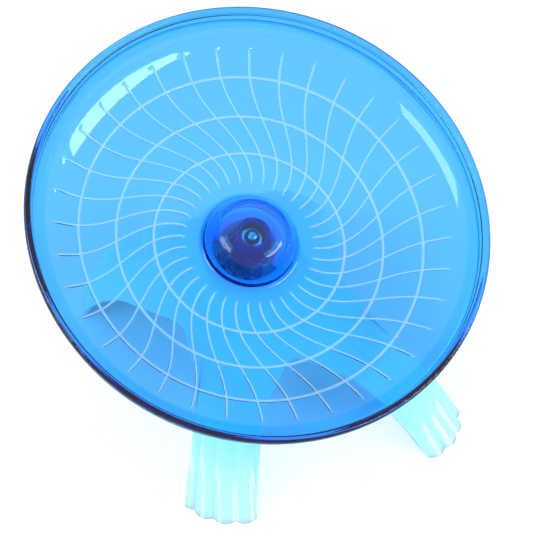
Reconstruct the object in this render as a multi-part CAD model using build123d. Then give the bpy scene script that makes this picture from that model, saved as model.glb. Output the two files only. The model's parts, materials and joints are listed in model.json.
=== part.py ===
from build123d import *
import os
from math import asin, cos, radians, sin

# Hamster saucer wheel: a clear blue running dish that spins on a tilted axle,
# carried by a hollow frosted stand with four fluted legs.
# The origin is on the ground, under the middle of the dish's rim.
# The dish leans towards the front, which is -Y. Lengths are in millimetres.

# Driving dimensions: the lean of the axle and the height of the rim
lean = 27.5
rim_height = 79.5

# Running dish: depths are measured down the axle from the rim's top plane
dish_radius = 90.0
dish_wall = 2.0
floor_depth = 27.3
floor_flat_radius = 28.5
bowl_radius = 100.0
bowl_sweep = 30.0
wall_radius = 17.5
wall_sweep = 48.0
rim_width = 2.8
rim_depth = 3.6
rim_rounding = 1.2
lip_depth = 7.4
lip_reach = 1.3
lip_height = 1.4
lip_rounding = 0.55

# Grip pattern on the floor: rings, and ribs that curl in towards the hub
ring_first_radius = 38.0
ring_pitch = 15.0
ring_count = 3
ring_bead = 0.75
rib_count = 36
rib_inner_radius = 24.6
rib_outer_radius = 79.0
rib_width = 0.9
rib_height = 0.5
rib_root = 0.4
rib_sections = 7
rib_curl = (23.0, 18.0, 7.4, 1.2, 0.0)

# Nose over the hub, and the boss that takes the sleeve
nose_depth = 14.5
nose_top_radius = 12.4
nose_foot_radius = 17.0
nose_shoulder = 4.5
nose_fillet = 5.0
nose_wall = 1.8
nose_draft = 0.6
boss_wall = 2.0
boss_depth = 38.0

# Hub sleeve with its two bushes, and the notched collar that locks the dish on it
sleeve_radius = 6.6
sleeve_top_depth = 18.6
sleeve_bottom_depth = 41.6
pocket_radius = 5.2
pocket_depth = 27.4
collar_radius = 10.0
collar_depth = 3.5
collar_notches = 12
notch_width = 2.6
notch_reach = 2.0
bush_radius = 4.2
bush_length = 5.6
bush_flange_radius = 5.0
bush_flange = 0.8

# Axle bolt with its nuts and washers
bolt_radius = 2.5
bolt_head_flats = 8.0
bolt_head_height = 3.5
washer_thickness = 0.8
washer_radius = 4.8
clamp_nut_height = 4.0
cap_nut_hex_height = 3.4
cap_nut_dome_radius = 3.1

# Clearances: turning on the axle, end play, a push fit and a loose hole
running_fit = 0.05
end_play = 0.1
push_fit = 0.02
loose_fit = 0.3

# How far a cutting shape runs past the face that it cuts
overrun = 1.0
cup_overrun = 5.0

# Stand: a hollow shell from its foot outline over a knee to a shoulder round the cup
stand_wall = 2.2
foot_half_x = 57.7
foot_half_y = 73.6
foot_corner = 21.7
foot_bulge = 1.7
knee_height = 21.0
knee_shift = 4.0
knee_lean = 6.0
knee_half_x = 50.0
knee_half_y = 63.5
knee_corner = 18.5
knee_bulge = 1.1
shoulder_depth = 34.0
shoulder_radius = 17.5
shoulder_flat = 1.0
shoulder_bulge = 0.2
corner_lobes = 4
cup_radius = 12.6
cup_floor = 3.0

# Arches between the legs: half width or ends at the ground, and height
front_arch_half = 35.0
front_arch_height = 29.0
side_arch_front = -51.0
side_arch_rear = 55.0
side_arch_height = 34.0
arch_corner = 0.62
arch_rise = 0.72
arch_foot = 0.93
arch_foot_rise = 0.3

axle = Plane(
    origin=(0, 0, rim_height),
    x_dir=(1, 0, 0),
    z_dir=(0, -sin(radians(lean)), cos(radians(lean))),
)


def along_axle(shape):
    """Carry a shape from the axle's own frame, rim plane at zero, to its place."""
    return axle.location * shape


def disc(outer, top, bottom, bore=0.0):
    """A round solid on the axle between two depths, with a bore if one is given."""
    height = bottom - top
    solid = Pos(0, 0, -(top + bottom) / 2) * Cylinder(outer, height)
    if bore:
        solid -= Pos(0, 0, -(top + bottom) / 2) * Cylinder(bore, height + 2 * overrun)
    return solid


def hexagon(flats, top, bottom):
    """A hexagonal solid on the axle between two depths."""
    outline = Plane.XY.offset(-bottom) * RegularPolygon(flats / 2, 6, major_radius=False)
    return extrude(outline, bottom - top)


def bowl_points(offset):
    """Where the bowl's two arcs meet and end, for a surface set out by offset."""
    small = wall_radius + offset
    large = bowl_radius + offset
    first = radians(bowl_sweep)
    last = radians(bowl_sweep + wall_sweep)
    centre_x = floor_flat_radius + (bowl_radius - wall_radius) * sin(first)
    centre_z = -floor_depth + bowl_radius - (bowl_radius - wall_radius) * cos(first)
    meet = (floor_flat_radius + large * sin(first), -floor_depth + bowl_radius - large * cos(first))
    end = (centre_x + small * sin(last), centre_z - small * cos(last))
    return meet, end


def bowl_line(offset):
    """The bowl's curve from its flat floor up to the rim, set out by offset."""
    start = (floor_flat_radius, -floor_depth - offset)
    meet, end = bowl_points(offset)
    first = JernArc(start, (1, 0), bowl_radius + offset, bowl_sweep)
    second = JernArc(meet, first % 1, wall_radius + offset, wall_sweep)
    return [first, second], start, end


def bowl_shell():
    """Floor, side wall and nose as one turned shell, before its hub is hollowed."""
    upper, upper_start, upper_end = bowl_line(0.0)
    lower, lower_start, lower_end = bowl_line(dish_wall)
    nose = FilletPolyline(
        (0, -nose_depth),
        (nose_top_radius, -nose_depth),
        (nose_foot_radius, -floor_depth),
        upper_start,
        radius=[nose_shoulder, nose_fillet],
    )
    under = -floor_depth - dish_wall
    edges = nose.edges() + [upper[0].edge(), upper[1].edge(), Line(upper_end, lower_end).edge()]
    edges += [lower[1].edge(), lower[0].edge(), Line(lower_start, (0, under)).edge()]
    edges.append(Line((0, under), (0, -nose_depth)).edge())
    return revolve(Plane.XZ * make_face(Curve() + edges), Axis.Z)


def nose_cavity():
    """The hollow under the nose, above the web that carries the boss."""
    top = -nose_depth - nose_wall
    outline = Polyline(
        (0, top),
        (nose_top_radius - nose_wall - nose_draft, top),
        (nose_foot_radius - nose_wall, -floor_depth),
        (0, -floor_depth),
        close=True,
    )
    solid = revolve(Plane.XZ * make_face(outline), Axis.Z)
    return fillet(solid.edges().sort_by(Axis.Z)[-1], nose_shoulder - nose_wall)


def rim():
    """The thick rounded rim, and the thin lip that runs round the wall below it."""
    bead = RectangleRounded(rim_width, rim_depth, rim_rounding)
    solid = revolve(Plane.XZ * Pos(dish_radius - rim_width / 2, -rim_depth / 2) * bead, Axis.Z)
    lip = RectangleRounded(2 * lip_reach, lip_height, lip_rounding)
    return solid + revolve(Plane.XZ * Pos(dish_radius - rim_width, -lip_depth) * lip, Axis.Z)


def floor_height(radius):
    """Height of the running surface at a radius on the floor or the bowl."""
    out = max(0.0, radius - floor_flat_radius)
    return -floor_depth + bowl_radius - bowl_radius * cos(asin(out / bowl_radius))


def grip_rings():
    """Round beads on the floor, half sunk in it."""
    rings = []
    for index in range(ring_count):
        radius = ring_first_radius + index * ring_pitch
        bead = Pos(radius, floor_height(radius) - ring_bead / 3) * Circle(ring_bead)
        rings.append(revolve(Plane.XZ * bead, Axis.Z))
    return rings


def rib_spine():
    """A rib's middle line in plan: a spline through its curl at even steps of radius."""
    step = (rib_outer_radius - rib_inner_radius) / (len(rib_curl) - 1)
    points = []
    for index, curl in enumerate(rib_curl):
        points.append(Vector(rib_inner_radius + index * step, 0).rotate(Axis.Z, -curl))
    return Spline(*points)


def grip_ribs():
    """Thin curled ribs: a small box section lofted along the spine, its root in the floor."""
    spine = rib_spine()
    sections = []
    for index in range(rib_sections):
        share = index / (rib_sections - 1)
        place = spine @ share
        along = spine % share
        height = floor_height(place.length) + (rib_height - rib_root) / 2
        plane = Plane(origin=place + (0, 0, height), x_dir=along.rotate(Axis.Z, 90), z_dir=along)
        sections.append(plane * Rectangle(rib_width, rib_height + rib_root))
    rib = loft(sections, ruled=True)
    return [Rot(0, 0, index * 360 / rib_count) * rib for index in range(rib_count)]


def saucer_dish():
    """The running dish: one moulding of floor, wall, rim, nose, boss and grip."""
    boss = disc(sleeve_radius + boss_wall, floor_depth, boss_depth)
    body = bowl_shell() - nose_cavity() + boss + rim()
    body -= disc(sleeve_radius + push_fit, nose_depth + nose_wall + overrun, boss_depth + overrun)
    return body + grip_rings() + grip_ribs()


def hub_sleeve():
    """Dark sleeve that turns on the axle: a pocket for the cap nut over two bush seats."""
    sleeve = disc(sleeve_radius, sleeve_top_depth, sleeve_bottom_depth, bolt_radius + loose_fit)
    sleeve -= disc(pocket_radius, sleeve_top_depth - overrun, pocket_depth)
    seat = bush_radius + push_fit
    upper_flange = pocket_depth + bush_flange
    lower_flange = sleeve_bottom_depth - bush_flange
    sleeve -= disc(seat, pocket_depth - overrun, upper_flange + bush_length)
    sleeve -= disc(seat, lower_flange - bush_length, sleeve_bottom_depth + overrun)
    sleeve -= disc(bush_flange_radius + push_fit, pocket_depth - overrun, upper_flange)
    sleeve -= disc(bush_flange_radius + push_fit, lower_flange, sleeve_bottom_depth + overrun)
    return sleeve


def bush(flange_face, direction):
    """A flanged bush: direction is 1 where its body goes down from the flange, -1 where up."""
    bore = bolt_radius + running_fit
    inner_face = flange_face + direction * bush_flange
    far_face = inner_face + direction * bush_length
    flange = disc(bush_flange_radius, min(flange_face, inner_face), max(flange_face, inner_face), bore)
    return flange + disc(bush_radius, min(inner_face, far_face), max(inner_face, far_face), bore)


def locking_collar():
    """The notched collar under the boss."""
    bottom = boss_depth + collar_depth
    collar = disc(collar_radius, boss_depth, bottom, sleeve_radius + push_fit)
    for index in range(collar_notches):
        notch = Box(2 * notch_reach, notch_width, collar_depth + 2 * overrun)
        place = Rot(0, 0, index * 360 / collar_notches) * Pos(collar_radius, 0, -(boss_depth + bottom) / 2)
        collar -= place * notch
    return collar


# Places down the axle, each worked out from the piece that it rests on
lower_washer_top = sleeve_bottom_depth + end_play
clamp_nut_top = lower_washer_top + washer_thickness
cup_floor_depth = clamp_nut_top + clamp_nut_height
head_washer_top = cup_floor_depth + cup_floor
bolt_head_top = head_washer_top + washer_thickness
upper_washer_top = pocket_depth - end_play - washer_thickness
cap_hex_top = upper_washer_top - cap_nut_hex_height
bolt_tip_depth = cap_hex_top - cap_nut_dome_radius / 3


def washer(top):
    """A flat washer whose upper face is at the depth given."""
    return disc(washer_radius, top, top + washer_thickness, bolt_radius + push_fit)


def axle_bolt():
    """Hex-headed bolt, from under the stand's cup up into the cap nut."""
    shank = disc(bolt_radius, bolt_tip_depth, bolt_head_top)
    return shank + hexagon(bolt_head_flats, bolt_head_top, bolt_head_top + bolt_head_height)


def clamp_nut():
    """Plain nut that clamps the bolt to the floor of the cup."""
    nut = hexagon(bolt_head_flats, clamp_nut_top, cup_floor_depth)
    return nut - disc(bolt_radius + push_fit, clamp_nut_top - overrun, cup_floor_depth + overrun)


def cap_nut():
    """Domed nut that keeps the sleeve on the axle."""
    dome = Pos(0, 0, -cap_hex_top) * Sphere(cap_nut_dome_radius)
    nut = dome + hexagon(bolt_head_flats, cap_hex_top, upper_washer_top)
    nut -= disc(cap_nut_dome_radius + overrun, upper_washer_top, upper_washer_top + cap_nut_dome_radius)
    return nut - disc(bolt_radius + push_fit, bolt_tip_depth - push_fit, upper_washer_top + overrun)


def lobed_outline(plane, half_x, half_y, corner, bulge):
    """A rounded rectangle whose corners are each a row of equal outward lobes."""
    step = 90 / corner_lobes
    notches = []
    crowns = []
    for quarter in range(4):
        side_x = 1 if quarter in (0, 3) else -1
        side_y = 1 if quarter in (0, 1) else -1
        centre = Vector(side_x * (half_x - corner), side_y * (half_y - corner))
        for lobe in range(corner_lobes + 1):
            notches.append(centre + Vector(corner, 0).rotate(Axis.Z, quarter * 90 + lobe * step))
        for lobe in range(corner_lobes):
            turn = quarter * 90 + (lobe + 0.5) * step
            crowns.append(centre + Vector(corner + bulge, 0).rotate(Axis.Z, turn))
    edges = []
    for index, start in enumerate(notches):
        finish = notches[(index + 1) % len(notches)]
        quarter, lobe = divmod(index, corner_lobes + 1)
        if lobe == corner_lobes:
            edges.append(Line(start, finish).edge())
        else:
            edges.append(ThreePointArc(start, crowns[quarter * corner_lobes + lobe], finish).edge())
    return plane * make_face(Curve() + edges)


def stand_form(inset):
    """The stand as a solid, from under the ground to its shoulder, set in by inset."""
    foot = Plane.XY.offset(-inset)
    knee = Plane(
        origin=(0, knee_shift, knee_height - inset),
        x_dir=(1, 0, 0),
        z_dir=(0, -sin(radians(knee_lean)), cos(radians(knee_lean))),
    )
    shoulder = axle.offset(-shoulder_depth - inset)
    neck = shoulder_radius - inset
    share = 0 if inset else 1
    low = (foot_half_x - inset, foot_half_y - inset, foot_corner - inset, foot_bulge * share)
    middle = (knee_half_x - inset, knee_half_y - inset, knee_corner - inset, knee_bulge * share)
    high = (neck, neck, neck - shoulder_flat, shoulder_bulge * share)
    planes = [(foot, low), (knee, middle), (shoulder, high)]
    return loft([lobed_outline(plane, *sizes) for plane, sizes in planes], ruled=True)


def arch(plane, near, far, height, reach):
    """A tunnel with a rounded top, cut through both walls of the stand."""
    middle = (near + far) / 2
    half = (far - near) / 2
    points = [
        (near, -overrun),
        (middle - half * arch_foot, height * arch_foot_rise),
        (middle - half * arch_corner, height * arch_rise),
        (middle, height),
        (middle + half * arch_corner, height * arch_rise),
        (middle + half * arch_foot, height * arch_foot_rise),
        (far, -overrun),
    ]
    outline = [Spline(*points).edge(), Line(points[-1], points[0]).edge()]
    return extrude(plane * make_face(Curve() + outline), reach, both=True)


def stand():
    """The hollow stand with its arches, and the cup that holds the axle bolt."""
    body = stand_form(0.0) - stand_form(stand_wall)
    body -= arch(Plane.XZ, -front_arch_half, front_arch_half, front_arch_height, 2 * foot_half_y)
    body -= arch(Plane.YZ, side_arch_front, side_arch_rear, side_arch_height, 2 * foot_half_x)
    body += along_axle(disc(cup_radius + stand_wall, shoulder_depth, cup_floor_depth + cup_floor))
    body -= along_axle(disc(cup_radius, shoulder_depth - cup_overrun, cup_floor_depth))
    return body - along_axle(disc(bolt_radius + loose_fit, shoulder_depth, head_washer_top + cup_overrun))


def build():
    """Every piece of the wheel, by name, in its place."""
    turned = {
        "saucer_dish": saucer_dish(),
        "hub_sleeve": hub_sleeve(),
        "upper_bush": bush(pocket_depth, 1),
        "lower_bush": bush(sleeve_bottom_depth, -1),
        "locking_collar": locking_collar(),
        "upper_thrust_washer": washer(upper_washer_top),
        "lower_thrust_washer": washer(lower_washer_top),
        "bolt_head_washer": washer(head_washer_top),
        "axle_bolt": axle_bolt(),
        "clamp_nut": clamp_nut(),
        "cap_nut": cap_nut(),
    }
    pieces = {name: along_axle(shape) for name, shape in turned.items()}
    pieces["stand"] = stand()
    return pieces


os.makedirs("parts", exist_ok=True)
for name, shape in build().items():
    export_step(shape, f"parts/{name}.step")
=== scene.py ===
# %% [markdown]
# # A clear saucer wheel on a frosted stand
# The wheel is a shallow dish of clear blue plastic that spins on a tilted axle.
# A hollow, milky stand with four fluted legs carries it.
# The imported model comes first: it says where every piece is, and which body it moves with.

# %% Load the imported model
import json

import bpy
import numpy as np
from mathutils import Matrix, Vector


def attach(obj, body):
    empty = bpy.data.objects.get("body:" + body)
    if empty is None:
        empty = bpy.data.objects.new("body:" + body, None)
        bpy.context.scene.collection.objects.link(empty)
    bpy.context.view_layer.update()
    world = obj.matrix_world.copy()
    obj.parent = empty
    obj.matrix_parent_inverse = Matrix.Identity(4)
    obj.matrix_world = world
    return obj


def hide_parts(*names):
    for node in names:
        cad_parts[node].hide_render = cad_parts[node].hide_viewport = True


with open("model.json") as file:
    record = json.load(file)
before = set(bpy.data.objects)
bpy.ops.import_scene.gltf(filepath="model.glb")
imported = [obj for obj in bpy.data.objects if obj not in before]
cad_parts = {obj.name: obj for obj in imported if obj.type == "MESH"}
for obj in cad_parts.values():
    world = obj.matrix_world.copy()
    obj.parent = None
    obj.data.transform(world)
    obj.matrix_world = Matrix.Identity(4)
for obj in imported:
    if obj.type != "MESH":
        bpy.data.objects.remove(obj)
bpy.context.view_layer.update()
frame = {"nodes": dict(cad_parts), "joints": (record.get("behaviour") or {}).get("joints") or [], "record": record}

# %% [markdown]
# Every turned piece is easiest to draw down its own axle, as a radius and a depth below the rim.
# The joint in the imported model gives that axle, so nothing here repeats its lean by hand.
# Sizes are written in millimetres and become metres only when the points go into a mesh.

# %% The axle's own frame
mm = 0.001
spin = frame["joints"][0]
axis_up = np.array(spin["axis"])
axis_side = np.array([1.0, 0.0, 0.0])
axis_back = np.cross(axis_up, axis_side)
pivot = np.array(spin["pos_m"])
rim_centre = pivot - axis_up * pivot[1] / axis_up[1]
print("rim centre", rim_centre.round(4))


def from_axle(across, back, up):
    """Carry points to the row frame: rim centre, plus each coordinate times its own axis."""
    place = across[..., None] * axis_side + back[..., None] * axis_back + up[..., None] * axis_up
    return rim_centre + place * mm


# %% [markdown]
# A turned or swept surface is a grid of points: rows run along the profile, columns go round.
# The grid wraps in its columns, and a row of zero radius is closed with one point at the pole.

# %% A closed grid becomes a mesh
crease_angle = np.radians(38)


def grid_faces(rows, columns, ring):
    """Quads between neighbouring rows; columns close up, and in a ring the rows do too."""
    row = np.arange(rows if ring else rows - 1)[:, None]
    above = (row + 1) % rows * columns
    column = np.arange(columns)[None, :]
    ahead = (column + 1) % columns
    row = row * columns
    return np.stack([row + column, row + ahead, above + ahead, above + column], axis=-1).reshape(-1, 4)


def grid_piece(name, points, body, first_pole=None, last_pole=None):
    """A mesh object from rows of points; fans close the ends if poles are given, else rows join."""
    rows, columns = points.shape[:2]
    vertices = points.reshape(-1, 3)
    faces = grid_faces(rows, columns, first_pole is None).tolist()
    around = np.arange(columns)
    ahead = (around + 1) % columns
    if first_pole is not None:
        pole = len(vertices)
        vertices = np.vstack([vertices, first_pole])
        faces += np.stack([np.full(columns, pole), ahead, around], axis=-1).tolist()
    if last_pole is not None:
        pole = len(vertices)
        vertices = np.vstack([vertices, last_pole])
        last = (rows - 1) * columns
        faces += np.stack([np.full(columns, pole), last + around, last + ahead], axis=-1).tolist()
    mesh = bpy.data.meshes.new(name)
    mesh.from_pydata(vertices.tolist(), [], faces)
    mesh.shade_smooth()
    mesh.set_sharp_from_angle(angle=crease_angle)
    piece = bpy.data.objects.new(name, mesh)
    bpy.context.scene.collection.objects.link(piece)
    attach(piece, body)
    print(name, len(faces), "faces")
    return piece


# %% [markdown]
# Profiles are made of straight runs and arcs.
# A rounded corner is an arc that touches both of its runs, so no profile needs points by hand.

# %% Lines and arcs in a profile
arc_steps = 7


def rounded_line(corners, radii):
    """A polyline whose inner corners are arcs of the radii given.

    Each arc starts radius times tan(half the turn) before its corner, ends as far
    after it, and its centre lies on the line that halves the corner.
    """
    corners = np.array(corners, float)
    parts = [corners[:1]]
    for before, corner, after, radius in zip(corners[:-2], corners[1:-1], corners[2:], radii):
        to_before = (before - corner) / np.linalg.norm(before - corner)
        to_after = (after - corner) / np.linalg.norm(after - corner)
        half = np.arccos(np.clip(to_before @ to_after, -1, 1)) / 2
        middle = (to_before + to_after) / np.linalg.norm(to_before + to_after)
        centre = corner + middle * radius / np.sin(half)
        start = corner + to_before * radius / np.tan(half) - centre
        finish = corner + to_after * radius / np.tan(half) - centre
        share = np.linspace(0, 1, arc_steps)[:, None]
        chord = start + (finish - start) * share
        parts.append(centre + chord * radius / np.linalg.norm(chord, axis=1)[:, None])
    parts.append(corners[-1:])
    return np.vstack(parts)


# %% [markdown]
# The running dish is one moulding: floor, steep wall, thick rim, and a nose over the hub.
# Its grip is raised lines on the floor: three rings, and 36 ribs that curl in to the hub.
# They could be a bump texture, but clear plastic bends light at real ridges, so they are modelled.
# The columns of the grid lean with the ribs, so a few columns give every rib a crisp edge.

# %% Sizes of the dish
floor_depth = 27.3
floor_flat_radius = 28.5
bowl_radius = 100.0
bowl_sweep = 30.0
wall_radius = 17.5
wall_sweep = 48.0
dish_wall = 2.0
rim_radius = 90.0
rim_width = 2.8
rim_depth = 3.5
rim_rounding = 1.2
rim_underside = 1.1
lip_depth = 7.4
lip_reach = 1.3
lip_height = 1.4
lip_rounding = 0.5
nose_depth = 14.5
nose_top_radius = 13.2
nose_foot_radius = 19.4
nose_wall = 1.8
nose_shoulder = 10.0
nose_fillet = 3.2
boss_radius = 8.6
boss_depth = 38.0
boss_roundings = (1.0, 0.4)
bore_radius = 6.62
wall_levels = (-4.2, -5.2, -6.2)
pole_radius = 0.4

# %% Sizes of the grip
rib_count = 36
rib_inner = 24.6
rib_outer = 79.0
rib_half_width = 0.32
rib_flank = 0.2
rib_height = 0.45
rib_run_out = 2.5
rib_curl = (23.0, 18.0, 7.4, 1.2, 0.0)
rib_knots = np.linspace(rib_inner, rib_outer, len(rib_curl))
curl_curve = np.polyfit(rib_knots, rib_curl, len(rib_curl) - 1)
ring_radii = (38.0, 53.0, 68.0)
ring_bead = 0.75
ring_sink = 0.25
ring_shares = (-1.2, -0.94, -0.8, -0.55, -0.28, 0, 0.28, 0.55, 0.8, 0.94, 1.2)
ring_clearance = 1.3
bowl_rows = 41
wall_rows = 15
flat_rows = 5
nose_row_gap = 0.6


# %% The curve of the bowl, set out by an offset
def bowl_curve(offset, count_floor, count_wall):
    """Floor arc, then wall arc, with one tangent where they meet; radius, height and slope."""
    meet = np.radians(bowl_sweep)
    top = np.radians(bowl_sweep + wall_sweep)
    floor_angle = np.linspace(0, meet, count_floor)
    wall_angle = np.linspace(meet, top, count_wall)[1:]
    centre = floor_flat_radius + (bowl_radius - wall_radius) * np.sin(meet)
    height = -floor_depth + bowl_radius - (bowl_radius - wall_radius) * np.cos(meet)
    big = bowl_radius + offset
    small = wall_radius + offset
    floor_level = -floor_depth + bowl_radius - big * np.cos(floor_angle)
    radius = np.concatenate(
        [floor_flat_radius + big * np.sin(floor_angle), centre + small * np.sin(wall_angle)]
    )
    level = np.concatenate([floor_level, height - small * np.cos(wall_angle)])
    return radius, level, np.concatenate([floor_angle, wall_angle])


# %% The running surface, with rows where the rings need them
def running_surface():
    """Radius, height and slope from the nose's foot to the rim, with close rows at each ring."""
    radius, height, slope = bowl_curve(0.0, bowl_rows, wall_rows)
    flat_start = nose_foot_radius + nose_fillet + nose_row_gap
    flat = np.linspace(flat_start, floor_flat_radius - 1.0, flat_rows)
    ring = np.array(ring_radii)[:, None] + ring_bead * np.array(ring_shares)
    ends = np.array([rib_inner, rib_inner + rib_run_out, rib_outer - rib_run_out, rib_outer])
    off = np.abs(radius[:, None] - np.array(ring_radii)).min(axis=1)
    clear = off > ring_clearance * ring_bead
    rows = np.unique(np.concatenate([flat, radius[clear], ring.ravel(), ends]).round(3))
    level = np.interp(rows, radius, height)
    lean = np.interp(rows, radius, slope, left=0.0)
    inside = rows < floor_flat_radius + bowl_radius * np.sin(np.radians(bowl_sweep))
    out = np.clip(rows - floor_flat_radius, 0, None)
    level[inside] = (-floor_depth + bowl_radius - np.sqrt(bowl_radius**2 - out**2))[inside]
    return rows, level, lean


# %% [markdown]
# The height of the grip at a point is the higher of its rib and its ring.
# A rib has sloping flanks and a slightly raised back; a ring is the top of a round bead.

# %% Columns that follow the ribs
rib_foot = rib_half_width + rib_flank
rib_profile = np.array([-rib_foot, -rib_half_width, 0.0, rib_half_width, rib_foot])
rib_rise = np.array([0.0, 1.0, 1.15, 1.0, 0.0])
gap_shares = np.array([0.2, 0.4, 0.6, 0.8])


def dish_angles(radius):
    """The angle of each column at each row.

    A rib's columns sit at fixed distances from its middle line, so their angle is the
    distance over the radius; the other columns share out what is left of the pitch.
    """
    pitch = 2 * np.pi / rib_count
    hub = np.clip(radius, rib_inner, None)[:, None]
    near = rib_profile / hub
    gap_start = near[:, -1:]
    gap = pitch - 2 * gap_start
    sector = np.concatenate([near, gap_start + gap * gap_shares], axis=1)
    curl = np.radians(np.polyval(curl_curve, np.clip(radius, rib_inner, rib_outer)))
    steps = np.arange(rib_count)[:, None] * pitch
    angle = steps[None] + sector[:, None, :] - curl[:, None, None]
    return angle.reshape(len(radius), -1)


def grip_height(radius):
    """Height of ribs and rings over the floor for every row and column."""
    rise = np.concatenate([rib_rise, np.zeros(len(gap_shares))])
    fade = np.clip(np.minimum(radius - rib_inner, rib_outer - radius) / rib_run_out, 0, 1)
    ribs = fade[:, None] * np.tile(rise, rib_count)[None] * rib_height
    off = np.abs(radius[:, None] - np.array(ring_radii)).min(axis=1)
    bead = np.sqrt(np.clip(ring_bead**2 - off**2, 0, None)) - ring_sink
    return np.maximum(ribs, np.clip(bead, 0, None)[:, None])


# %% [markdown]
# One closed profile goes from the top of the nose over floor, wall and rim, back under the dish,
# down the boss, up its bore and round the hollow of the nose.
# Only the rows of the running surface carry the grip.

# %% The dish's outline round the rim and underneath
def rim_outline():
    """The bead at the top of the wall: up its inner side, over, and down the outer side."""
    inner = rim_radius - rim_width
    corners = [
        (inner, -rim_depth + rim_rounding),
        (inner, 0),
        (rim_radius, 0),
        (rim_radius, -rim_depth),
        (rim_radius - rim_underside, -rim_depth),
    ]
    return rounded_line(corners, [rim_rounding, rim_rounding, rim_rounding])


def lip_outline(wall_at):
    """The thin lip that stands out of the wall below the bead."""
    outer = rim_radius - rim_width + lip_reach
    high = -lip_depth + lip_height / 2
    low = -lip_depth - lip_height / 2
    corners = [(wall_at(high), high), (outer, high), (outer, low), (wall_at(low), low)]
    return rounded_line(corners, [lip_rounding, lip_rounding])


def under_outline():
    """From under the rim down the outer wall, past the lip, and in under the floor to the bore."""
    radius, height, _ = bowl_curve(dish_wall, 22, 17)
    order = np.argsort(height)

    def wall(level):
        return float(np.interp(level, height[order], radius[order]))

    above = [(wall(level), level) for level in wall_levels]
    lip = lip_outline(wall)
    below = height < -lip_depth - lip_height
    bowl = np.stack([radius[below], height[below]], axis=-1)[::-1]
    under = -floor_depth - dish_wall
    boss_corners = [
        (floor_flat_radius - 2, under),
        (boss_radius, under),
        (boss_radius, -boss_depth),
        (bore_radius, -boss_depth),
    ]
    boss = rounded_line(boss_corners, boss_roundings)
    return np.vstack([above, lip, bowl, boss])


def hollow_outline():
    """Up the bore to the web, out to the nose's inner side, and in over the hollow."""
    top = -nose_depth - nose_wall
    corners = [
        (bore_radius, -boss_depth + 0.3),
        (bore_radius, -floor_depth),
        (nose_foot_radius - nose_wall, -floor_depth),
        (nose_top_radius - nose_wall - 0.6, top),
        (pole_radius, top),
    ]
    return rounded_line(corners, [0.3, 0.6, nose_shoulder - nose_wall])


# %% Build the dish
def saucer():
    """The profile carried round the axle, with each row's own angles for its columns."""
    nose_corners = [
        (pole_radius, -nose_depth),
        (nose_top_radius, -nose_depth),
        (nose_foot_radius, -floor_depth),
        (nose_foot_radius + nose_fillet + nose_row_gap / 2, -floor_depth),
    ]
    nose = rounded_line(nose_corners, [nose_shoulder, nose_fillet])
    rows, level, lean = running_surface()
    rest = np.vstack([rim_outline(), under_outline(), hollow_outline()])
    radius = np.concatenate([nose[:, 0], rows, rest[:, 0]])
    height = np.concatenate([nose[:, 1], level, rest[:, 1]])
    angle = dish_angles(np.concatenate([nose[:, 0], rows, np.full(len(rest), rim_radius)]))
    grip = np.zeros(angle.shape)
    first = len(nose)
    grip[first:first + len(rows)] = grip_height(rows)
    slope = np.zeros(len(radius))
    slope[first:first + len(rows)] = lean
    reach = radius[:, None] - grip * np.sin(slope)[:, None]
    up = height[:, None] + grip * np.cos(slope)[:, None]
    points = from_axle(reach * np.cos(angle), reach * np.sin(angle), up)
    top = rim_centre - axis_up * nose_depth * mm
    ceiling = rim_centre - axis_up * (nose_depth + nose_wall) * mm
    # The profile runs outwards over the top, so a column that goes round by rising angle faces inwards
    piece = grid_piece("clear_blue_dish", points[:, ::-1], "saucer", top, ceiling)
    raised = piece.data.attributes.new("grip", "FLOAT", "POINT")
    share = np.clip(grip[:, ::-1] / rib_height, 0, 1).ravel()
    raised.data.foreach_set("value", np.append(share, [0.0, 0.0]).astype(np.float32))
    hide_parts("saucer_dish")
    return piece


dish = saucer()

# %% [markdown]
# The stand is one thin moulding too. Its outline at the ground is a rounded rectangle whose
# corners are scalloped, and the scallops run up each leg as flutes to the cup that holds the axle.
# It is made as one surface of two parameters: u goes round the outline, v up from foot to shoulder.
# Where an arch opens a side, the columns start at the arch's edge instead of at the ground.

# %% Sizes of the stand
foot_half = (57.7, 73.6)
foot_corner = 21.7
foot_bulge = 1.7
knee_half = (50.0, 63.5)
knee_corner = 18.5
knee_bulge = 1.2
knee_height = 21.0
knee_shift = 4.0
knee_lean = np.radians(6.0)
shoulder_radius = 17.5
shoulder_depth = 34.0
shoulder_bulge = 0.45
side_share = 32.0
lobes = 4
lobe_steps = 9
stand_wall = 2.2
v_step = 0.001
cup_radius = 12.6
cup_depth = 46.5
bolt_hole = 2.8
front_arch = (-35.0, 35.0, 29.0)
side_arch = (-51.0, 55.0, 34.0)
arch_shares = (-1.0, -0.93, -0.62, 0.0, 0.62, 0.93, 1.0)
arch_heights = (0.0, 0.3, 0.72, 1.0, 0.72, 0.3, 0.0)
arch_samples = 201
arch_blur = 41
side_steps = 45
side_bunching = 0.28
scallop_power = 0.8
knee_at = 0.36
knee_blend = 0.14
fine_steps = 601
leg_rows = 56
cup_roundings = (0.8, 1.2)


# %% The outline at one level
def lobe_rise():
    """How far each column of a corner stands out: one arch of a sine for each scallop."""
    turn = np.arange(lobes * lobe_steps + 1) / lobe_steps
    return np.abs(np.sin(np.pi * turn)) ** scallop_power


def side_columns(half):
    """Even steps between two corners, closer together where the arch's foot cuts the side."""
    share = np.linspace(-1, 1, side_steps)[1:-1]
    return half * ((1 - side_bunching) * share + side_bunching * np.sin(np.pi * share / 2))


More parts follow.
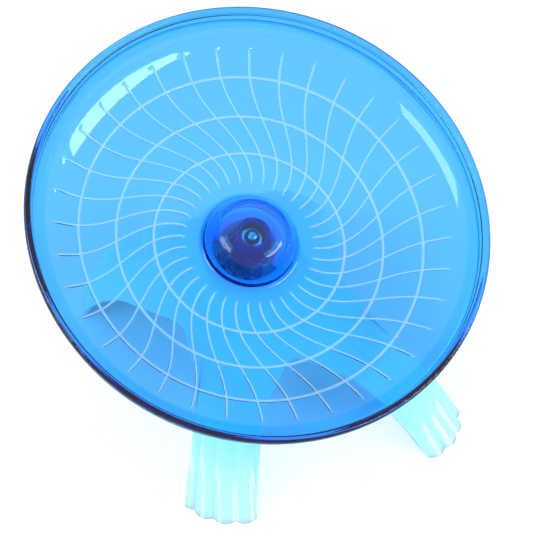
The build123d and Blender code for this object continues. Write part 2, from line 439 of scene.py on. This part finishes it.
def outline(half_x, half_y, corner, bulge):
    """A rounded rectangle with scalloped corners, as points in the order of the columns."""
    rise = corner + bulge * lobe_rise()
    angle = np.radians(np.linspace(0, 90, lobes * lobe_steps + 1))
    parts = []
    for quarter in range(4):
        turn = np.radians(90 * quarter)
        straight = half_y - corner if quarter % 2 == 0 else half_x - corner
        reach = half_x if quarter % 2 == 0 else half_y
        along = side_columns(straight)
        side = np.stack([np.full(len(along), reach), along], axis=-1)
        centre = np.array([reach - corner, straight])
        bend = centre + rise[:, None] * np.stack([np.cos(angle), np.sin(angle)], axis=-1)
        spin_part = np.array([[np.cos(turn), np.sin(turn)], [-np.sin(turn), np.cos(turn)]])
        parts.append(np.vstack([side, bend]) @ spin_part)
    return np.vstack(parts)


def round_outline(radius, bulge):
    """The same columns on a circle, where each side keeps its share of the turn."""
    corner = np.radians(90 - side_share)
    rise = radius + bulge * lobe_rise()
    angle = np.linspace(0, corner, lobes * lobe_steps + 1)
    sides = np.linspace(-1, 1, side_steps)[1:-1] * np.radians(side_share) / 2
    parts = []
    for quarter in range(4):
        start = np.radians(90 * quarter)
        side = start + sides
        bend = start + np.radians(side_share) / 2 + angle
        parts.append(np.stack([radius * np.cos(side), radius * np.sin(side)], axis=-1))
        parts.append(np.stack([rise * np.cos(bend), rise * np.sin(bend)], axis=-1))
    return np.vstack(parts)


# %% Foot, knee and shoulder in the row frame
def stand_levels():
    """Three rings of points in metres: on the ground, at the knee, and round the cup."""
    foot = outline(*foot_half, foot_corner, foot_bulge)
    knee = outline(*knee_half, knee_corner, knee_bulge)
    neck = round_outline(shoulder_radius, shoulder_bulge)
    ground = np.column_stack([foot, np.zeros(len(foot))]) * mm
    knee_y = knee_shift + knee[:, 1] * np.cos(knee_lean)
    knee_z = knee_height + knee[:, 1] * np.sin(knee_lean)
    middle = np.column_stack([knee[:, 0], knee_y, knee_z]) * mm
    top = from_axle(neck[:, 0], neck[:, 1], np.full(len(neck), -shoulder_depth))
    return ground, middle, top


def arch_level(along, arch):
    """Height of an arch above the ground at a place along its side, and nothing outside it."""
    low, high, peak = arch
    share = (along / mm - (low + high) / 2) / ((high - low) / 2)
    smooth = np.linspace(-1, 1, arch_samples)
    curve = np.interp(smooth, arch_shares, arch_heights)
    kernel = np.hanning(arch_blur)
    padded = np.pad(curve, arch_blur // 2, mode="edge")
    curve = np.convolve(padded, kernel / kernel.sum(), mode="valid")
    return np.where(np.abs(share) < 1, np.interp(share, smooth, curve) * peak * mm, -1.0)


# %% Build the stand
def inner_wall(place, v):
    """Each point moved in by the wall, against the cross product of a step round and a step up."""
    ahead = np.roll(place(np.roll(v, 1, axis=1)), -1, axis=1)
    behind = np.roll(place(np.roll(v, -1, axis=1)), 1, axis=1)
    upward = place(v + v_step) - place(v - v_step)
    normal = np.cross(ahead - behind, upward)
    normal /= np.linalg.norm(normal, axis=-1, keepdims=True)
    inner = place(v) - normal * stand_wall * mm
    inner[..., 2] = np.clip(inner[..., 2], 0, None)
    return inner


def stand_shell():
    """Columns from foot over knee to shoulder, begun at the arches, into the cup and back inside.

    Between the levels a column is a straight run; near the knee the two runs are blended
    with a quadratic curve, so that the leg bends softly.
    """
    ground, middle, top = stand_levels()

    def place(v):
        low = ground + (middle - ground) * (v / knee_at)[..., None]
        high = middle + (top - middle) * ((v - knee_at) / (1 - knee_at))[..., None]
        share = np.clip((v - knee_at + knee_blend) / (2 * knee_blend), 0, 1)[..., None]
        start = ground + (middle - ground) * ((knee_at - knee_blend) / knee_at)
        finish = middle + (top - middle) * (knee_blend / (1 - knee_at))
        bend = start * (1 - share) ** 2 + middle * 2 * share * (1 - share) + finish * share**2
        above = np.where((v > knee_at + knee_blend)[..., None], high, bend)
        return np.where((v < knee_at - knee_blend)[..., None], low, above)

    columns = len(ground)
    fine = np.linspace(0, 1, fine_steps)
    trial = place(np.repeat(fine[:, None], columns, axis=1))
    edge = np.maximum(arch_level(trial[..., 0], front_arch), arch_level(trial[..., 1], side_arch))
    open_here = trial[..., 2] < edge
    above_arch = fine_steps - open_here[::-1].argmax(axis=0)
    start = fine[np.where(open_here.any(axis=0), above_arch, 0).clip(max=fine_steps - 1)]
    v = start + (1 - start) * np.linspace(0, 1, leg_rows)[:, None]
    neck = round_outline(1.0, 0.0)
    cup_corners = [
        (shoulder_radius, -shoulder_depth),
        (cup_radius, -shoulder_depth),
        (cup_radius, -cup_depth),
        (bolt_hole, -cup_depth),
    ]
    cup = rounded_line(cup_corners, cup_roundings)[1:]
    below = cup_depth + stand_wall
    beside = cup_radius + stand_wall
    cup_top = shoulder_depth + 1.5 * stand_wall
    cup = np.vstack([cup, (bolt_hole, -below), (beside, -below), (beside, -cup_top)])
    reach, depth = cup[:, :1], np.repeat(cup[:, 1:], columns, axis=1)
    ring = from_axle(reach * neck[:, 0], reach * neck[:, 1], depth)
    inner = inner_wall(place, v)[:-2][::-1]
    points = np.concatenate([place(v), ring, inner])
    piece = grid_piece("frosted_stand", points, "stand_body")
    edges = piece.modifiers.new("soft edges", "BEVEL")
    edges.width = 0.25 * mm
    edges.segments = 2
    edges.limit_method = "ANGLE"
    edges.angle_limit = np.radians(60)
    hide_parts("stand")
    return piece


stand = stand_shell()

# %% [markdown]
# Clear plastic is darker where light goes through more of it, as at the thick rim.
# A tinted surface alone could not show that, so part of the colour is in the volume of the dish.
# The grip is painted paler than the floor around it, a painted highlight: where the ribs and rings stand up, a
# share of white matt shader stands in for the light they catch.
# Shadow rays pass through it, because a dish like this casts a pale blue shadow, not a dark one.

# %% Fine marks shared by the plastics
def surface_marks():
    """Node group: roughness and a small height from one noise texture on Object coordinates."""
    group = bpy.data.node_groups.new("fine_marks", "ShaderNodeTree")
    group.interface.new_socket("Scale", in_out="INPUT", socket_type="NodeSocketFloat")
    group.interface.new_socket("Least roughness", in_out="INPUT", socket_type="NodeSocketFloat")
    group.interface.new_socket("Most roughness", in_out="INPUT", socket_type="NodeSocketFloat")
    group.interface.new_socket("Roughness", in_out="OUTPUT", socket_type="NodeSocketFloat")
    group.interface.new_socket("Height", in_out="OUTPUT", socket_type="NodeSocketFloat")
    nodes, links = group.nodes, group.links
    given = nodes.new("NodeGroupInput")
    out = nodes.new("NodeGroupOutput")
    place = nodes.new("ShaderNodeTexCoord")
    haze = nodes.new("ShaderNodeTexNoise")
    haze.inputs["Detail"].default_value = 4.0
    spread = nodes.new("ShaderNodeMapRange")
    links.new(place.outputs["Object"], haze.inputs["Vector"])
    links.new(given.outputs["Scale"], haze.inputs["Scale"])
    links.new(haze.outputs["Fac"], spread.inputs["Value"])
    links.new(given.outputs["Least roughness"], spread.inputs["To Min"])
    links.new(given.outputs["Most roughness"], spread.inputs["To Max"])
    links.new(spread.outputs["Result"], out.inputs["Roughness"])
    links.new(haze.outputs["Fac"], out.inputs["Height"])
    return group


marks = surface_marks()


def plastic(name, colour, scale, least, most, bump):
    """A Principled material whose roughness and slight unevenness come from the shared marks."""
    material = bpy.data.materials.new(name)
    material.use_nodes = True
    nodes, links = material.node_tree.nodes, material.node_tree.links
    shader = nodes["Principled BSDF"]
    shader.inputs["Base Color"].default_value = (*colour, 1)
    fine = nodes.new("ShaderNodeGroup")
    fine.node_tree = marks
    fine.inputs["Scale"].default_value = scale
    fine.inputs["Least roughness"].default_value = least
    fine.inputs["Most roughness"].default_value = most
    uneven = nodes.new("ShaderNodeBump")
    uneven.inputs["Strength"].default_value = bump
    uneven.inputs["Distance"].default_value = 0.2 * mm
    links.new(fine.outputs["Roughness"], shader.inputs["Roughness"])
    links.new(fine.outputs["Height"], uneven.inputs["Height"])
    links.new(uneven.outputs["Normal"], shader.inputs["Normal"])
    return material, shader


# %% Clear blue for the dish
def clear_blue():
    """Glass-like surface, colour from absorption inside, a painted highlight of pale matt white on the grip, and a
    way through for shadow rays.
    """
    material, shader = plastic(
        "clear_blue_plastic", (0.18, 0.64, 1.0), scale=60, least=0.0, most=0.03, bump=0.03
    )
    shader.inputs["Transmission Weight"].default_value = 1.0
    shader.inputs["IOR"].default_value = 1.45
    nodes, links = material.node_tree.nodes, material.node_tree.links
    out = nodes["Material Output"]
    # Painted highlight: where the ribs and rings stand up, up to 0.3 of a pale white diffuse shader stands in for
    # the light they catch.
    grip = nodes.new("ShaderNodeAttribute")
    grip.attribute_name = "grip"
    painted_highlight_share = nodes.new("ShaderNodeMapRange")
    painted_highlight_share.inputs["To Max"].default_value = 0.30
    painted_highlight_white = nodes.new("ShaderNodeBsdfDiffuse")
    painted_highlight_white.inputs["Color"].default_value = (0.72, 0.95, 1.0, 1)
    grip_with_painted_highlight = nodes.new("ShaderNodeMixShader")
    links.new(grip.outputs["Fac"], painted_highlight_share.inputs["Value"])
    links.new(painted_highlight_share.outputs["Result"], grip_with_painted_highlight.inputs["Fac"])
    links.new(shader.outputs["BSDF"], grip_with_painted_highlight.inputs[1])
    links.new(painted_highlight_white.outputs["BSDF"], grip_with_painted_highlight.inputs[2])
    through = nodes.new("ShaderNodeBsdfTransparent")
    rays = nodes.new("ShaderNodeLightPath")
    choose = nodes.new("ShaderNodeMixShader")
    links.new(rays.outputs["Is Shadow Ray"], choose.inputs["Fac"])
    links.new(grip_with_painted_highlight.outputs["Shader"], choose.inputs[1])
    links.new(through.outputs["BSDF"], choose.inputs[2])
    links.new(choose.outputs["Shader"], out.inputs["Surface"])
    inside = nodes.new("ShaderNodeVolumeAbsorption")
    inside.inputs["Color"].default_value = (0.0, 0.72, 0.995, 1)
    inside.inputs["Density"].default_value = 300.0
    links.new(inside.outputs["Volume"], out.inputs["Volume"])
    return material


dish.data.materials.append(clear_blue())

# %% Milky plastic for the stand
milky, milky_shader = plastic(
    "milky_aqua_plastic", (0.50, 0.92, 1.0), scale=45, least=0.12, most=0.22, bump=0.05
)
milky_shader.inputs["Subsurface Weight"].default_value = 0.6
milky_shader.inputs["Subsurface Radius"].default_value = (0.6, 1.0, 1.0)
milky_shader.inputs["Subsurface Scale"].default_value = 5 * mm
stand.data.materials.append(milky)

# %% Dark blue, white bearing plastic and steel
navy, navy_shader = plastic(
    "deep_blue_plastic", (0.004, 0.001, 0.20), scale=90, least=0.26, most=0.36, bump=0.05
)
navy_shader.inputs["Specular IOR Level"].default_value = 0.25
acetal, _ = plastic(
    "bearing_plastic", (0.82, 0.83, 0.85), scale=90, least=0.30, most=0.42, bump=0.05
)
steel, steel_shader = plastic(
    "plated_steel", (0.60, 0.61, 0.64), scale=180, least=0.16, most=0.30, bump=0.08
)
steel_shader.inputs["Metallic"].default_value = 1.0
finishes = {"deep_blue": navy, "white_acetal": acetal, "steel": steel}
for part in frame["record"]["subparts"]:
    node = frame["nodes"][part["node"]]
    if part["material_slot"] in finishes:
        node.data.materials.clear()
        node.data.materials.append(finishes[part["material_slot"]])

# %% [markdown]
# The floor and the world are plain white to the camera, as in a product photo.
# To everything else they are a soft studio light, so colours come out as they are written.

# %% Floor
def studio_floor():
    """A wide square under the feet that keeps the shadow and is lifted to white for the camera."""
    reach = 4.0
    mesh = bpy.data.meshes.new("studio_floor")
    corners = [(-reach, -reach, 0), (reach, -reach, 0), (reach, reach, 0), (-reach, reach, 0)]
    mesh.from_pydata(corners, [], [(0, 1, 2, 3)])
    floor = bpy.data.objects.new("studio_floor", mesh)
    bpy.context.scene.collection.objects.link(floor)
    material = bpy.data.materials.new("white_floor")
    material.use_nodes = True
    nodes, links = material.node_tree.nodes, material.node_tree.links
    shader = nodes["Principled BSDF"]
    shader.inputs["Roughness"].default_value = 0.9
    shader.inputs["Specular IOR Level"].default_value = 0.1
    shader.inputs["Emission Color"].default_value = (1, 1, 1, 1)
    rays = nodes.new("ShaderNodeLightPath")
    lift = nodes.new("ShaderNodeMapRange")
    lift.inputs["To Min"].default_value = 0.05
    lift.inputs["To Max"].default_value = 0.62
    tint = nodes.new("ShaderNodeMix")
    tint.data_type = "RGBA"
    tint.inputs["A"].default_value = (0.88, 0.90, 0.94, 1)
    tint.inputs["B"].default_value = (0.50, 0.50, 0.50, 1)
    links.new(rays.outputs["Is Camera Ray"], lift.inputs["Value"])
    links.new(rays.outputs["Is Camera Ray"], tint.inputs["Factor"])
    links.new(tint.outputs["Result"], shader.inputs["Base Color"])
    links.new(lift.outputs["Result"], shader.inputs["Emission Strength"])
    mesh.materials.append(material)


studio_floor()


# %% World
def studio_world():
    """White for what the camera sees directly or in gloss and glass; softer for diffuse light."""
    world = bpy.data.worlds.new("studio")
    bpy.context.scene.world = world
    world.use_nodes = True
    nodes, links = world.node_tree.nodes, world.node_tree.links
    light = nodes["Background"]
    rays = nodes.new("ShaderNodeLightPath")
    first = nodes.new("ShaderNodeMath")
    first.operation = "MAXIMUM"
    second = nodes.new("ShaderNodeMath")
    second.operation = "MAXIMUM"
    strength = nodes.new("ShaderNodeMapRange")
    strength.inputs["To Min"].default_value = 0.60
    strength.inputs["To Max"].default_value = 1.0
    links.new(rays.outputs["Is Camera Ray"], first.inputs[0])
    links.new(rays.outputs["Is Glossy Ray"], first.inputs[1])
    links.new(first.outputs["Value"], second.inputs[0])
    links.new(rays.outputs["Is Transmission Ray"], second.inputs[1])
    links.new(second.outputs["Value"], strength.inputs["Value"])
    links.new(strength.outputs["Result"], light.inputs["Strength"])
    light.inputs["Color"].default_value = (1, 1, 1, 1)


studio_world()


# %% Lamps
def softbox(name, azimuth, elevation, width, height, power, mirrored=True):
    """A rectangular area lamp that faces the dish, at angles from the front and the floor."""
    turn, rise = np.radians(azimuth), np.radians(elevation)
    away = Vector((np.sin(turn) * np.cos(rise), -np.cos(turn) * np.cos(rise), np.sin(rise)))
    lamp = bpy.data.lights.new(name, "AREA")
    lamp.shape = "RECTANGLE"
    lamp.energy = power
    lamp.size = width
    lamp.size_y = height
    holder = bpy.data.objects.new(name, lamp)
    holder.visible_glossy = mirrored
    holder.location = away * softbox_distance + Vector((0, 0, rim_centre[2]))
    holder.rotation_euler = (-away).to_track_quat("-Z", "Y").to_euler()
    bpy.context.scene.collection.objects.link(holder)


softbox_distance = 1.1
softbox("softbox_right", 42, 24, 0.80, 0.22, 5.0)
softbox("softbox_left", -86, 32, 0.80, 0.36, 5.0)
softbox("fill_above", 180, 80, 1.2, 1.2, 4.0, mirrored=False)

# %% [markdown]
# The photo was taken from above and a little left of the front, with a long lens.
# Its place and lens were worked out from the ellipse of the rim, the grip rings and the feet.

# %% Camera
camera_place = Vector((-233.8, -534.5, 587.5)) * mm
camera_look = Vector((0.2981, 0.6730, -0.6769))
camera_roll = np.radians(-0.7)
lens = bpy.data.cameras.new("camera")
lens.sensor_width = 36.0
lens.lens = 135.9
camera = bpy.data.objects.new("camera", lens)
turn = camera_look.to_track_quat("-Z", "Y").to_matrix().to_4x4()
camera.matrix_world = Matrix.Translation(camera_place) @ turn @ Matrix.Rotation(camera_roll, 4, "Z")
bpy.context.scene.collection.objects.link(camera)
bpy.context.scene.camera = camera
bpy.context.scene.view_settings.view_transform = "Standard"
print("camera", [round(v, 3) for v in camera.location])
